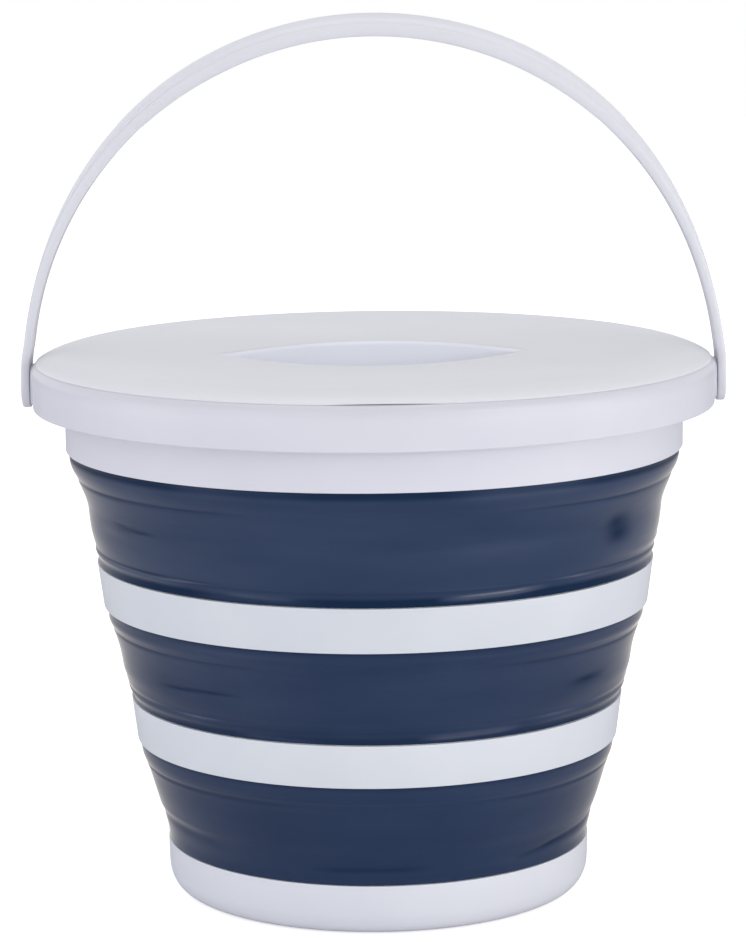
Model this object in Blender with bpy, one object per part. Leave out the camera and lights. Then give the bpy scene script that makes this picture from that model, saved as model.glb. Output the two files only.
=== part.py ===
"""A ten litre collapsible camp bucket with a press-on lid and a swinging bail handle.

A rigid base pan, two rigid rings and a rigid rim collar are joined by three bands of flexible rubber.
Each band folds inside out, so the rings drop down around the base and the bucket packs flat.
Metres, +Z up, the origin in the middle of the face that the bucket stands on.
The camera side of the bucket faces -Y, and the bail turns about the X axis of its two pivots.
"""

import math

import bmesh
import bpy
from mathutils import Matrix, Vector

# Outside radius of the base, and how far each piece above it steps or leans out, from the foot up
base_radius = 0.1003
lower_band_step = 0.0134
lower_ring_lean = 0.0028
middle_band_step = 0.0115
upper_ring_lean = 0.0032
upper_band_step = 0.0138
flange_overhang = 0.0152

# Heights, from the foot up
base_height = 0.0240
lower_band_height = 0.0490
lower_ring_height = 0.0200
middle_band_height = 0.0446
upper_ring_height = 0.0206
upper_band_height = 0.0535
tier_height = 0.0200
flange_height = 0.0205

# Walls and the joint between a rigid wall and a band
gap = 0.0003
rigid_wall = 0.0024
band_wall = 0.0018
tongue_wall = 0.0010
tongue_height = 0.0046
ring_hem = 0.0011

# Base pan
foot_corner = 0.0092
foot_corner_height = 0.0120
foot_ring_width = 0.0080
foot_ring_depth = 0.0025

# Bands: lip under the fold, lip over the fold, and how far the upper edge sits inside its ring
lower_band_lips = (0.0103, 0.0067)
middle_band_lips = (0.0060, 0.0076)
upper_band_lips = (0.0073, 0.0124)
lip_swell = 0.0017
ring_inset = 0.0006
tier_inset = 0.0017
lip_slope = 0.0011
tier_lip_slope = 0.0027

# Rim collar
collar_wall = 0.0028
bead_drop = 0.0046
top_round = 0.0034
skirt_draft = 0.0005
rib_count = 16
rib_thickness = 0.0016
rib_setback = 0.0030
pivot_drop = 0.0112
pad_radius = 0.0090
pad_proud = 0.0005

# Bail handle
strap_thickness = 0.0040
strap_half_width = 0.0090
strap_straight = 0.0130
grip_half_width = 0.0110
grip_edge = 0.0047
grip_crown = 0.0058
tab_radius = 0.0100
stud_radius = 0.0040
stud_head_radius = 0.0052
stud_head_length = 0.0025
stud_clearance = 0.0003
head_clearance = 0.0010

# Lid
lid_setback = 0.0022
lid_wall = 0.0022
lid_rise = 0.0055
lid_dish = 0.0037
shoulder_run = 0.0085
edge_land = 0.0008
plug_depth = 0.0077
plug_clearance = 0.0008
recess_half_length = 0.0730
recess_half_width = 0.0460
recess_depth = 0.0085
recess_tip = 0.0008
grip_thickness = 0.0055
grip_crest = 0.0057
notch_width = 0.0600
notch_height = 0.0018
lid_turn = math.radians(2.0)

# One overrun serves every cut and every solid that is sunk into its neighbour before a join
overrun = 0.0010

# Fineness of the meshes
turned_steps = 48
arc_steps = 3
bail_steps = 40
tab_steps = 4
recess_steps = 16
recess_cuts = 8
pad_sides = 32
stud_sides = 20
notch_sides = 256

# Radii and heights of the joints between the pieces
lower_ring_foot_radius = base_radius + lower_band_step
lower_ring_top_radius = lower_ring_foot_radius + lower_ring_lean
upper_ring_foot_radius = lower_ring_top_radius + middle_band_step
upper_ring_top_radius = upper_ring_foot_radius + upper_ring_lean
tier_radius = upper_ring_top_radius + upper_band_step
flange_radius = tier_radius + flange_overhang
lower_ring_foot = base_height + lower_band_height
lower_ring_top = lower_ring_foot + lower_ring_height
upper_ring_foot = lower_ring_top + middle_band_height
upper_ring_top = upper_ring_foot + upper_ring_height
tier_foot = upper_ring_top + upper_band_height
flange_top = tier_foot + tier_height + flange_height

# The curve of each band between its two folds: share of the height, share of the step outwards
lower_panel_shares = ((0.25, 0.20), (0.50, 0.47), (0.75, 0.76))
middle_panel_shares = ((0.20, 0.25), (0.50, 0.45), (0.80, 0.77))
upper_panel_shares = ((0.18, 0.21), (0.48, 0.39), (0.75, 0.59))

# The bail grows from a flat strap into a crowned grip between these shares of a quarter turn
grow_from_share = 0.05
grow_to_share = 0.85
tab_share = 0.10

# The crowned top of the grip: share of the half width, share of the crown
crown_shares = ((1.0, 0.0), (0.72, 0.55), (0.36, 0.90), (0.0, 1.0))

white_shell = (0.70, 0.69, 0.76, 1.0)
navy_rubber = (0.027, 0.054, 0.115, 1.0)
shell_roughness = 0.38
rubber_roughness = 0.42


def clear_scene():
    for old in list(bpy.data.objects):
        bpy.data.objects.remove(old, do_unlink=True)


def moulded_material(name, colour, roughness):
    """A plain moulded finish: colour and roughness on a Principled BSDF, no metal."""
    material = bpy.data.materials.new(name)
    material.use_nodes = True
    shader = material.node_tree.nodes["Principled BSDF"]
    shader.inputs["Base Color"].default_value = colour
    shader.inputs["Roughness"].default_value = roughness
    shader.inputs["Metallic"].default_value = 0.0
    material.diffuse_color = colour
    return material


def piece_from(bm, name, parent=None, height=0.0):
    """Turns a closed bmesh into a named object, shaded smooth, standing at its height on its parent."""
    bmesh.ops.remove_doubles(bm, verts=bm.verts, dist=gap / turned_steps)
    bmesh.ops.recalc_face_normals(bm, faces=bm.faces)
    mesh = bpy.data.meshes.new(name)
    bm.to_mesh(mesh)
    bm.free()
    mesh.shade_smooth()
    mesh.set_sharp_from_angle(angle=math.radians(35.0))
    piece = bpy.data.objects.new(name, mesh)
    bpy.context.scene.collection.objects.link(piece)
    piece.parent = parent
    piece.location.z = height
    return piece


def turned(name, outline, parent=None, height=0.0):
    """Spins a closed outline of (radius, height) points round Z, with a flat, not a corner, on each axis."""
    bm = bmesh.new()
    start = Matrix.Rotation(math.tau / turned_steps / 2, 3, "Z")
    corners = [bm.verts.new(start @ Vector((radius, 0.0, z))) for radius, z in outline]
    edges = [bm.edges.new((a, b)) for a, b in zip(corners, corners[1:])]
    if outline[0][0] > 0.0 or outline[-1][0] > 0.0:
        edges.append(bm.edges.new((corners[-1], corners[0])))
    bmesh.ops.spin(
        bm,
        geom=corners + edges,
        axis=(0.0, 0.0, 1.0),
        cent=(0.0, 0.0, 0.0),
        steps=turned_steps,
        angle=math.tau,
    )
    return piece_from(bm, name, parent, height)


def lofted(name, sections, parent=None, height=0.0):
    """Skins equal sections, each a closed loop of points, and caps the first and the last."""
    bm = bmesh.new()
    loops = [[bm.verts.new(point) for point in section] for section in sections]
    for near, far in zip(loops, loops[1:]):
        for i in range(len(near)):
            bm.faces.new((near[i - 1], near[i], far[i], far[i - 1]))
    bm.faces.new(loops[0])
    bm.faces.new(loops[-1])
    return piece_from(bm, name, parent, height)


def disc_along_x(name, radius, start, end, sides, parent, height):
    """A round pin or pad whose axis is the X axis, between two distances from the middle."""
    bm = bmesh.new()
    turn = Matrix.Rotation(math.tau / 4, 4, "Y")
    middle = Matrix.Translation(((start + end) / 2, 0.0, 0.0))
    bmesh.ops.create_cone(
        bm,
        cap_ends=True,
        segments=sides,
        radius1=radius,
        radius2=radius,
        depth=abs(end - start),
        matrix=middle @ turn,
    )
    return piece_from(bm, name, parent, height)


def hide_tool(tool):
    tool.hide_render = True
    tool.display_type = "WIRE"


def combine(piece, tool, operation):
    """Joins or cuts a helper solid with an exact Boolean, and leaves the helper out of the object."""
    hide_tool(tool)
    boolean = piece.modifiers.new(operation.title() + " " + tool.name, "BOOLEAN")
    boolean.operation = operation
    boolean.object = tool
    boolean.solver = "EXACT"


def arc(centre, radii, start, end):
    """Points on an elliptic arc in the outline's plane, angles from the outward radius."""
    points = []
    for i in range(arc_steps + 1):
        angle = start + (end - start) * i / arc_steps
        points.append((centre[0] + radii[0] * math.cos(angle), centre[1] + radii[1] * math.sin(angle)))
    return points


def smooth_step(share):
    share = min(max(share, 0.0), 1.0)
    return share * share * (3 - 2 * share)


def make_base_pan():
    """The rigid pan: a raised floor inside a foot ring, a rounded corner and the lower band's tongue."""
    flat_radius = base_radius - foot_corner
    quarter = math.tau / 4
    floor_top = foot_ring_depth + rigid_wall
    inner_radius = base_radius - rigid_wall
    outline = [(0.0, foot_ring_depth)]
    outline.append((flat_radius - foot_ring_width - foot_ring_depth, foot_ring_depth))
    outline.append((flat_radius - foot_ring_width, 0.0))
    outline += arc((flat_radius, foot_corner_height), (foot_corner, foot_corner_height), -quarter, 0.0)
    outline.append((base_radius, base_height))
    outline.append((inner_radius + tongue_wall, base_height))
    outline.append((inner_radius + tongue_wall, base_height + tongue_height))
    outline.append((inner_radius, base_height + tongue_height))
    inner_corner = (foot_corner - rigid_wall, foot_corner_height - floor_top)
    outline += arc((flat_radius, foot_corner_height), inner_corner, 0.0, -quarter)
    outline.append((0.0, floor_top))
    return turned("base_pan", outline)


def make_ring(name, foot_radius, top_radius, height, parent, level):
    """A rigid ring: a slot behind its lower edge for one band, a tongue over its top for the next."""
    tongue_outside = top_radius - rigid_wall + tongue_wall
    outline = [
        (top_radius, height),
        (foot_radius, 0.0),
        (foot_radius - ring_hem, 0.0),
        (foot_radius - ring_hem, tongue_height),
        (foot_radius - rigid_wall, tongue_height),
        (top_radius - rigid_wall, height + tongue_height),
        (tongue_outside, height + tongue_height),
        (tongue_outside, height),
    ]
    return turned(name, outline, parent, level)


def make_band(name, foot_radius, top_radius, height, lips, inset, slope, shares, parent, level):
    """A flexible band: a lip over the tongue below, a panel between two folds, a tongue behind the ring above."""
    lower_lip, upper_lip = lips
    fold_low = (foot_radius + lip_swell, lower_lip)
    fold_high = (top_radius - inset - slope, height - upper_lip)
    rise = fold_high[1] - fold_low[1]
    step = fold_high[0] - fold_low[0]
    panel = [fold_low]
    for height_share, step_share in shares:
        panel.append((fold_low[0] + step * step_share, fold_low[1] + rise * height_share))
    panel.append(fold_high)
    lip_inside = foot_radius - (rigid_wall - tongue_wall - gap)
    tongue_outside = top_radius - max(ring_hem + gap, inset)
    tongue_inside = tongue_outside - tongue_wall
    tongue_end = height - gap + tongue_height - gap
    outline = [(foot_radius, gap)]
    outline += panel
    outline.append((top_radius - inset, height - gap))
    if tongue_outside < top_radius - inset:
        outline.append((tongue_outside, height - gap))
    outline.append((tongue_outside, tongue_end))
    outline.append((tongue_inside, tongue_end))
    outline += [(radius - band_wall, z) for radius, z in reversed(panel)]
    outline.append((lip_inside, tongue_height + gap))
    outline.append((lip_inside, gap))
    return turned(name, outline, parent, level)


def make_rim_collar(parent):
    """The rim: an upright tier, a flange turned down over it as a skirt, ribs between them, two pivot pads."""
    quarter = math.tau / 4
    top = tier_height + flange_height
    mouth_radius = tier_radius - collar_wall
    skirt_foot_radius = flange_radius - skirt_draft
    skirt_inside = flange_radius - rigid_wall
    under_top = top - rigid_wall
    outline = [
        (tier_radius, 0.0),
        (tier_radius, under_top),
        (skirt_inside - rigid_wall, under_top),
        (skirt_inside, top - bead_drop),
        (skirt_foot_radius - rigid_wall, tier_height),
        (skirt_foot_radius, tier_height),
    ]
    outline += arc((flange_radius - top_round, top - bead_drop), (top_round, bead_drop), 0.0, quarter)
    outline += [
        (mouth_radius, top),
        (mouth_radius, tongue_height),
        (tier_radius - ring_hem, tongue_height),
        (tier_radius - ring_hem, 0.0),
    ]
    collar = turned("rim_collar", outline, parent, tier_foot - upper_ring_foot)

    rib_start = tier_radius - collar_wall / 2
    rib_end = skirt_inside + skirt_draft
    rib_foot = tier_height + rib_setback
    rib_top = under_top + rigid_wall / 2
    rib_middle = (rib_start + rib_end) / 2
    for i in range(rib_count):
        bm = bmesh.new()
        turn = Matrix.Rotation(math.tau * (i + 0.5) / rib_count, 4, "Z")
        place = Matrix.Translation((rib_middle, 0.0, (rib_foot + rib_top) / 2))
        size = Matrix.Diagonal((rib_end - rib_start, rib_thickness, rib_top - rib_foot, 1.0))
        bmesh.ops.create_cube(bm, size=1.0, matrix=turn @ place @ size)
        combine(collar, piece_from(bm, "rib_block_%d" % i, collar), "UNION")

    pivot = top - pivot_drop
    pad_face = flange_radius + pad_proud
    pad_root = skirt_inside + rigid_wall / 3
    for side, sign in (("left", -1), ("right", 1)):
        pad = disc_along_x("pad_" + side, pad_radius, sign * pad_root, sign * pad_face, pad_sides, collar, pivot)
        combine(collar, pad, "UNION")
        bore = disc_along_x(
            "bore_" + side,
            stud_radius + stud_clearance,
            sign * (skirt_inside - rigid_wall),
            sign * (pad_face + overrun),
            stud_sides,
            collar,
            pivot,
        )
        combine(collar, bore, "DIFFERENCE")
    return collar


def bail_section(inner, half_width, edge, crown):
    """The bail's section as (distance from the pivot line, width) points: flat palm side, crowned outside."""
    points = [(inner, -half_width)]
    for width_share, crown_share in crown_shares:
        points.append((inner + edge + crown * crown_share, -half_width * width_share))
    for width_share, crown_share in reversed(crown_shares[:-1]):
        points.append((inner + edge + crown * crown_share, half_width * width_share))
    points.append((inner, half_width))
    return points


def make_bail_handle(parent):
    """The bail: a half circle of strap that thickens into a crowned grip, round end tabs and snap studs."""
    inner = flange_radius + pad_proud + gap
    half_turn = math.tau / 2
    right_tab = []
    for i in range(tab_steps):
        angle = (i + 0.5) / tab_steps * half_turn / 2
        drop = tab_radius * math.cos(angle)
        width = tab_radius * math.sin(angle)
        section = bail_section(inner, width, strap_thickness, 0.0)
        right_tab.append([(x, y, -drop) for x, y in section])
    arch = []
    for i in range(bail_steps + 1):
        angle = half_turn * i / bail_steps
        quarter_share = min(angle, half_turn - angle) / (half_turn / 2)
        grow = smooth_step((quarter_share - grow_from_share) / (grow_to_share - grow_from_share))
        taper = smooth_step(quarter_share / tab_share)
        half_width = tab_radius + (strap_half_width - tab_radius) * taper
        half_width += (grip_half_width - strap_half_width) * grow
        edge = strap_thickness + (grip_edge - strap_thickness) * grow
        section = bail_section(inner, half_width, edge, grip_crown * grow)
        straighten = inner * (1 - abs(math.cos(angle))) if inner * math.sin(angle) < strap_straight else 0.0
        shift = math.copysign(straighten, math.cos(angle))
        arch.append([(r * math.cos(angle) + shift, y, r * math.sin(angle)) for r, y in section])
    left_tab = [[(-x, y, z) for x, y, z in section] for section in reversed(right_tab)]
    pivot = tier_height + flange_height - pivot_drop
    bail = lofted("bail_handle", right_tab + arch + left_tab, parent, pivot)

    skirt_inside = flange_radius - rigid_wall
    head_outer = skirt_inside - head_clearance
    for side, sign in (("left", -1), ("right", 1)):
        shank = disc_along_x(
            "stud_shank_" + side,
            stud_radius,
            sign * (head_outer - overrun),
            sign * (inner + strap_thickness / 2),
            stud_sides,
            bail,
            0.0,
        )
        combine(bail, shank, "UNION")
        head = disc_along_x(
            "stud_head_" + side,
            stud_head_radius,
            sign * (head_outer - stud_head_length),
            sign * head_outer,
            stud_sides,
            bail,
            0.0,
        )
        combine(bail, head, "UNION")
    return bail


def lid_surface(radius):
    """Height of the lid's dished top above the flange, at a radius inside its shoulder."""
    shoulder_radius = flange_radius - lid_setback - shoulder_run
    return lid_rise - lid_dish * (1 - (radius / shoulder_radius) ** 2)


def recess_sections(half_length, half_width, depth, rim_drop, top_lift):
    """Sections of a lens-shaped trough, from its left tip to its right tip, which follow the lid's dish."""
    sections = []
    for i in range(recess_steps + 1):
        along = 2 * i / recess_steps - 1
        fullness = 1 - along * along
        width = recess_tip + (half_width - recess_tip) * fullness
        x = half_length * along
        rim = lid_surface(x) - rim_drop
        section = [(x, -width, rim + rim_drop + top_lift)]
        for j in range(recess_cuts + 1):
            across = 2 * j / recess_cuts - 1
            sink = depth * fullness * (1 - abs(across) ** 3)
            section.append((x, width * across, rim - sink))
        section.append((x, width, rim + rim_drop + top_lift))
        sections.append(section)
    return sections


def grip_sections():
    """Sections of the upright grip rib, which rises in an arch out of the trough and ends in the lid's plate."""
    sections = []
    half_length = recess_half_length + overrun
    half_thickness = grip_thickness / 2
    root = lid_wall / 4
    for i in range(recess_steps + 1):
        along = 2 * i / recess_steps - 1
        fullness = 1 - along * along
        x = half_length * along
        low = lid_surface(x) - lid_wall + root - recess_depth * fullness
        end = lid_surface(half_length) - root
        high = end + (lid_surface(0.0) + grip_crest - end) * fullness
        rounding = min(half_thickness, (high - low) / 2)
        shoulder = high - rounding
        brow = high - rounding / 4
        half_brow = half_thickness / 2
        sections.append(
            [
                (x, -half_thickness, low),
                (x, -half_thickness, shoulder),
                (x, -half_brow, brow),
                (x, half_brow, brow),
                (x, half_thickness, shoulder),
                (x, half_thickness, low),
            ]
        )
    return sections


def make_lid(parent):
    """The lid: a dished plate with a rolled edge, a plug ring for the rim's mouth, a finger trough and a grip."""
    quarter = math.tau / 4
    lid_radius = flange_radius - lid_setback
    shoulder_radius = lid_radius - shoulder_run
    land_top = gap + edge_land
    inner_run = shoulder_run - lid_wall
    plug_outside = tier_radius - collar_wall - plug_clearance
    plug_inside = plug_outside - lid_wall
    plug_foot = -plug_depth
    outline = [(0.0, lid_surface(0.0))]
    for share in (1 / 3, 2 / 3):
        outline.append((shoulder_radius * share, lid_surface(shoulder_radius * share)))
    outline += arc((shoulder_radius, land_top), (shoulder_run, lid_rise - land_top), quarter, 0.0)
    outline.append((lid_radius, gap))
    outline.append((lid_radius - lid_wall, gap))
    outline += arc((shoulder_radius, land_top), (inner_run, lid_rise - land_top - lid_wall), 0.0, quarter)
    outline.append((plug_outside, lid_surface(plug_outside) - lid_wall))
    outline.append((plug_outside, plug_foot))
    outline.append((plug_inside, plug_foot))
    outline.append((plug_inside, lid_surface(plug_inside) - lid_wall))
    for share in (2 / 3, 1 / 3):
        outline.append((shoulder_radius * share, lid_surface(shoulder_radius * share) - lid_wall))
    outline.append((0.0, lid_surface(0.0) - lid_wall))
    lid = turned("lid", outline, parent, tier_height + flange_height)
    lid.rotation_euler.z = lid_turn

    skin = lid_wall / 4
    trough = lofted(
        "trough_body",
        recess_sections(
            recess_half_length + lid_wall, recess_half_width + lid_wall, recess_depth + skin, lid_wall - skin, -skin
        ),
        lid,
    )
    combine(lid, trough, "UNION")
    hollow = lofted(
        "trough_hollow",
        recess_sections(recess_half_length, recess_half_width, recess_depth, skin, overrun),
        lid,
    )
    combine(lid, hollow, "DIFFERENCE")
    grip = lofted("grip_rib", grip_sections(), lid)
    combine(lid, grip, "UNION")

    notch_radius = ((notch_width / 2) ** 2 + notch_height**2) / (2 * notch_height)
    bm = bmesh.new()
    upright = Matrix.Rotation(math.tau / 4, 4, "X")
    place = Matrix.Translation((0.0, -lid_radius, gap + notch_height - notch_radius))
    bmesh.ops.create_cone(
        bm,
        cap_ends=True,
        segments=notch_sides,
        radius1=notch_radius,
        radius2=notch_radius,
        depth=2 * (lid_wall + overrun),
        matrix=place @ upright,
    )
    combine(lid, piece_from(bm, "thumb_notch", lid), "DIFFERENCE")
    return lid


def make_bucket():
    shell = moulded_material("white moulded shell", white_shell, shell_roughness)
    rubber = moulded_material("navy moulded rubber", navy_rubber, rubber_roughness)

    base = make_base_pan()
    lower_ring = make_ring(
        "ring_lower", lower_ring_foot_radius, lower_ring_top_radius, lower_ring_height, base, lower_ring_foot
    )
    upper_ring = make_ring(
        "ring_upper",
        upper_ring_foot_radius,
        upper_ring_top_radius,
        upper_ring_height,
        lower_ring,
        upper_ring_foot - lower_ring_foot,
    )
    collar = make_rim_collar(upper_ring)
    bail = make_bail_handle(collar)
    lid = make_lid(collar)

    lower_band = make_band(
        "flex_band_lower",
        base_radius,
        lower_ring_foot_radius,
        lower_band_height,
        lower_band_lips,
        ring_inset,
        lip_slope,
        lower_panel_shares,
        base,
        base_height,
    )
    middle_band = make_band(
        "flex_band_middle",
        lower_ring_top_radius,
        upper_ring_foot_radius,
        middle_band_height,
        middle_band_lips,
        ring_inset,
        lip_slope,
        middle_panel_shares,
        lower_ring,
        lower_ring_height,
    )
    upper_band = make_band(
        "flex_band_upper",
        upper_ring_top_radius,
        tier_radius,
        upper_band_height,
        upper_band_lips,
        tier_inset,
        tier_lip_slope,
        upper_panel_shares,
        upper_ring,
        upper_ring_height,
    )

    for piece in (base, lower_ring, upper_ring, collar, bail, lid):
        piece.data.materials.append(shell)
    for band in (lower_band, middle_band, upper_band):
        band.data.materials.append(rubber)


clear_scene()
make_bucket()
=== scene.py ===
"""Looks of the collapsible camp bucket: white moulded shell, navy folding bands, press-on lid and bail."""

import math

import bmesh
import bpy
from mathutils import Matrix, Vector


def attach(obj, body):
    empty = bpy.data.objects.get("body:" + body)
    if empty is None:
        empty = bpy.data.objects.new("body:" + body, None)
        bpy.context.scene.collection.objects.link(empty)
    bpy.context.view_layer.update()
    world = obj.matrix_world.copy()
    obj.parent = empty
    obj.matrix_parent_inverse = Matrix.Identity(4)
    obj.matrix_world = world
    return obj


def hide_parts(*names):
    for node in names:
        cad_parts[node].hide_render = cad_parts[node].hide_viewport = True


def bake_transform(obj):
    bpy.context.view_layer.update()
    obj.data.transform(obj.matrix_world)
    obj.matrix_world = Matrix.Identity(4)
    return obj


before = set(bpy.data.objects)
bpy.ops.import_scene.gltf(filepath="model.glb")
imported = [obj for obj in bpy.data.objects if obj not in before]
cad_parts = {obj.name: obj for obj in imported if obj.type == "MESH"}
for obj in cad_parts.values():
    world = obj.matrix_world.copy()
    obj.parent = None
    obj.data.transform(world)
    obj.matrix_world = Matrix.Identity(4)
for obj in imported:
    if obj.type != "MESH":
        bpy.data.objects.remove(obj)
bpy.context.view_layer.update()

# Base pan: injection-moulded white polypropylene, with a raised floor inside a foot ring
# and a rounded lower corner. Its top edge carries the tongue that the lower band grips.
MM = 0.001  # outlines are written in millimetres


def rounded(corners, steps=4):
    """A closed outline in metres from (radius, height, round) corners in millimetres; each round is cut in."""
    most = 0.45  # the share of an edge that one round may take
    points = []
    for i, (r, z, size) in enumerate(corners):
        here = Vector((r, z))
        before = Vector(corners[i - 1][:2])
        after = Vector(corners[(i + 1) % len(corners)][:2])
        if size == 0:
            points.append(here * MM)
            continue
        back = min(size, (before - here).length * most)
        ahead = min(size, (after - here).length * most)
        start = here + (before - here).normalized() * back
        end = here + (after - here).normalized() * ahead
        for k in range(steps + 1):
            t = k / steps
            points.append((start * (1 - t) ** 2 + here * 2 * t * (1 - t) + end * t**2) * MM)
    return points


def as_piece(bm, name, sharp=40.0):
    """A closed bmesh becomes an object with outward normals, smooth but for its real edges."""
    bmesh.ops.remove_doubles(bm, verts=bm.verts, dist=1e-6)
    bmesh.ops.recalc_face_normals(bm, faces=bm.faces)
    mesh = bpy.data.meshes.new(name)
    bm.to_mesh(mesh)
    bm.free()
    mesh.shade_smooth()
    mesh.set_sharp_from_angle(angle=math.radians(sharp))
    piece = bpy.data.objects.new(name, mesh)
    bpy.context.scene.collection.objects.link(piece)
    return piece


def turned(name, outline, steps=240, ripple=None, sharp=40.0):
    """Turns a closed outline round the Z axis; ripple moves a point's radius by its angle and height."""
    bm = bmesh.new()
    loops = []
    for k in range(steps):
        a = math.tau * k / steps
        loop = []
        for r, z in outline:
            if ripple and r > 0:
                r += ripple(a, z)
            loop.append(bm.verts.new((r * math.cos(a), r * math.sin(a), z)))
        loops.append(loop)
    for k in range(steps):
        near, far = loops[k - 1], loops[k]
        for i in range(len(outline)):
            if outline[i - 1][0] == 0 and outline[i][0] == 0:
                continue
            bm.faces.new((near[i - 1], near[i], far[i], far[i - 1]))
    return as_piece(bm, name, sharp)


def feed(tree, node, inputs):
    """Gives a node's inputs their numbers, or links them where an output is given."""
    for socket, value in inputs.items():
        if isinstance(value, bpy.types.NodeSocket):
            tree.links.new(value, node.inputs[socket])
        else:
            node.inputs[socket].default_value = value


def wired(tree, kind, output, inputs=None, **settings):
    """Adds a node with its settings, feeds it and returns the named output."""
    node = tree.nodes.new(kind)
    for key, value in settings.items():
        setattr(node, key, value)
    feed(tree, node, inputs or {})
    return node.outputs[output]


def two_tone(tree, pattern, low, dark, high, light):
    """A colour that goes from dark to light as a pattern rises from low to high."""
    ramp = tree.nodes.new("ShaderNodeValToRGB")
    first, last = ramp.color_ramp.elements
    first.position, first.color = low, (*dark, 1)
    last.position, last.color = high, (*light, 1)
    tree.links.new(pattern, ramp.inputs["Fac"])
    return ramp.outputs["Color"]


def shell_material(name, light, dark, rough):
    """Satin moulded polypropylene: a faint cloudiness in the colour, uneven polish, a fine spark texture."""
    material = bpy.data.materials.new(name)
    material.use_nodes = True
    tree = material.node_tree
    place = wired(tree, "ShaderNodeTexCoord", "Object")
    cloud = wired(tree, "ShaderNodeTexNoise", "Fac", {"Vector": place, "Scale": 14.0, "Detail": 3.0})
    polish = wired(tree, "ShaderNodeTexNoise", "Fac", {"Vector": place, "Scale": 55.0, "Detail": 4.0})
    spark = wired(tree, "ShaderNodeTexNoise", "Fac", {"Vector": place, "Scale": 1300.0, "Detail": 2.0})
    feed(tree, tree.nodes["Principled BSDF"], {
        "IOR": 1.49,
        "Base Color": two_tone(tree, cloud, 0.35, dark, 0.65, light),
        "Roughness": wired(tree, "ShaderNodeMapRange", "Result", {
            "Value": polish, "To Min": rough - 0.05, "To Max": rough + 0.05}),
        "Normal": wired(tree, "ShaderNodeBump", "Normal", {
            "Height": spark, "Strength": 0.04, "Distance": 0.0001}),
    })
    return material


base = turned("base_pan_shell", rounded([
    (0, 2.5, 0), (80.6, 2.5, 1.5), (83.1, 0, 1.2), (90.6, 0, 1.2), (94.9, 1.05, 2.0), (97.9, 3.9, 2.0),
    (99.7, 8.1, 2.0), (100.1, 12.5, 2.0), (100.3, 24.0, 0.25), (98.9, 24.0, 0), (98.9, 28.6, 0.3),
    (97.9, 28.6, 0.3), (97.6, 11.5, 2.0), (95.7, 6.6, 2.0), (91.0, 4.9, 2.0), (0, 4.9, 0)]))
# Painted light: the base gets a lighter white than the rim, rings and lid, against the shade that falls on it
# under the bands.
base.data.materials.append(
    shell_material("base shell", light=(0.745, 0.75, 0.815), dark=(0.715, 0.72, 0.795), rough=0.40))
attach(base, "base")
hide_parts("base_pan")

# Lower folding band: navy thermoplastic rubber moulded onto the pan and the lower ring.
# A bead over a lip darkened with painted shade marks the lower fold, a groove under a lip painted paler the
# upper one.
band_steps = 320
lower_face = [
    (99.8, 24.3), (100.1, 27.0), (100.6, 30.0), (101.3, 33.0), (102.1, 36.0), (103.0, 39.0), (103.9, 41.4),
    (105.1, 44.8), (106.5, 49.4), (107.9, 54.3), (109.4, 59.2), (110.4, 61.8), (110.7, 62.9), (111.1, 64.0),
    (111.7, 65.2), (112.1, 66.6), (112.4, 68.3), (112.7, 70.4), (113.0, 72.7)]
lower_back = [
    (112.3, 72.8), (112.2, 77.0), (111.3, 77.0), (111.1, 72.0), (110.9, 68.0), (109.7, 64.6), (107.9, 59.6),
    (106.1, 54.3), (104.7, 49.4), (103.3, 44.8), (101.9, 40.4), (100.4, 37.0), (99.6, 34.0), (99.3, 31.0),
    (99.2, 28.9), (99.2, 24.3)]
lower_creases = [
    # The groove of the upper fold, strongest at the sides and darkened with painted shade, and the bead over
    # it, painted paler.
    (0.25, -0.35, 1.0, (-88, 62.9, 0.3), (-60, 62.9, 1), (-35, 62.9, 0.7), (-10, 62.9, 0)),
    (0.25, -0.35, 1.0, (10, 62.9, 0), (38, 62.9, 0.7), (60, 62.9, 1), (88, 62.9, 0.3)),
    (0, 0.3, 1.3, (-88, 66.3, 1), (-35, 66.3, 1), (-10, 66.3, 0)),
    (0, 0.3, 1.3, (20, 66.3, 0), (45, 66.3, 1), (88, 66.3, 1)),
    # A ridge over a hollow at the left, a shallow dent low at the front and a crease over a ridge at the right;
    # painted light lies on the left ridge, painted shade in the hollow, the dent and the crease.
    (-0.25, 0.2, 1.4, (-90, 42.6, 0.3), (-72, 42.6, 0.8), (-58, 42.2, 1), (-42, 41.5, 0)),
    (0.45, -0.3, 2.4, (-88, 38.6, 0.6), (-62, 38.2, 1), (-50, 37.5, 0.7), (-38, 37, 0)),
    (0.25, -0.45, 1.5, (-20, 31.2, 0), (-9, 31.5, 1), (5, 31.7, 1), (16, 31.5, 0)),
    (0.6, -0.75, 1.6, (36, 31.2, 0), (43, 31.6, 0.5), (52, 33.6, 1), (60, 34.8, 0.8), (70, 35.6, 0.6),
     (90, 39.6, 0.5)),
    (-0.35, 0, 2.2, (52, 31.6, 0), (68, 31.6, 1), (86, 32.5, 0.6), (90, 33, 0.5))]


def flowing(points, steps=4):
    """A smooth curve through a few (radius, height) points."""
    dense = []
    last = len(points) - 1
    for i in range(last):
        p0, p1, p2, p3 = (Vector(points[min(max(i + k, 0), last)]) for k in (-1, 0, 1, 2))
        for k in range(steps):
            t = k / steps
            dense.append(
                0.5 * (2 * p1 + (p2 - p0) * t + (2 * p0 - 5 * p1 + 4 * p2 - p3) * t**2
                       + (3 * p1 - p0 - 3 * p2 + p3) * t**3)
            )
    dense.append(Vector(points[last]))
    return [(p.x, p.y) for p in dense]


def band_section(face, back):
    """A band's closed outline in metres: its face from foot to head, smoothed, and its back down again."""
    return [(r * MM, z * MM) for r, z in flowing(face) + back]


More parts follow.
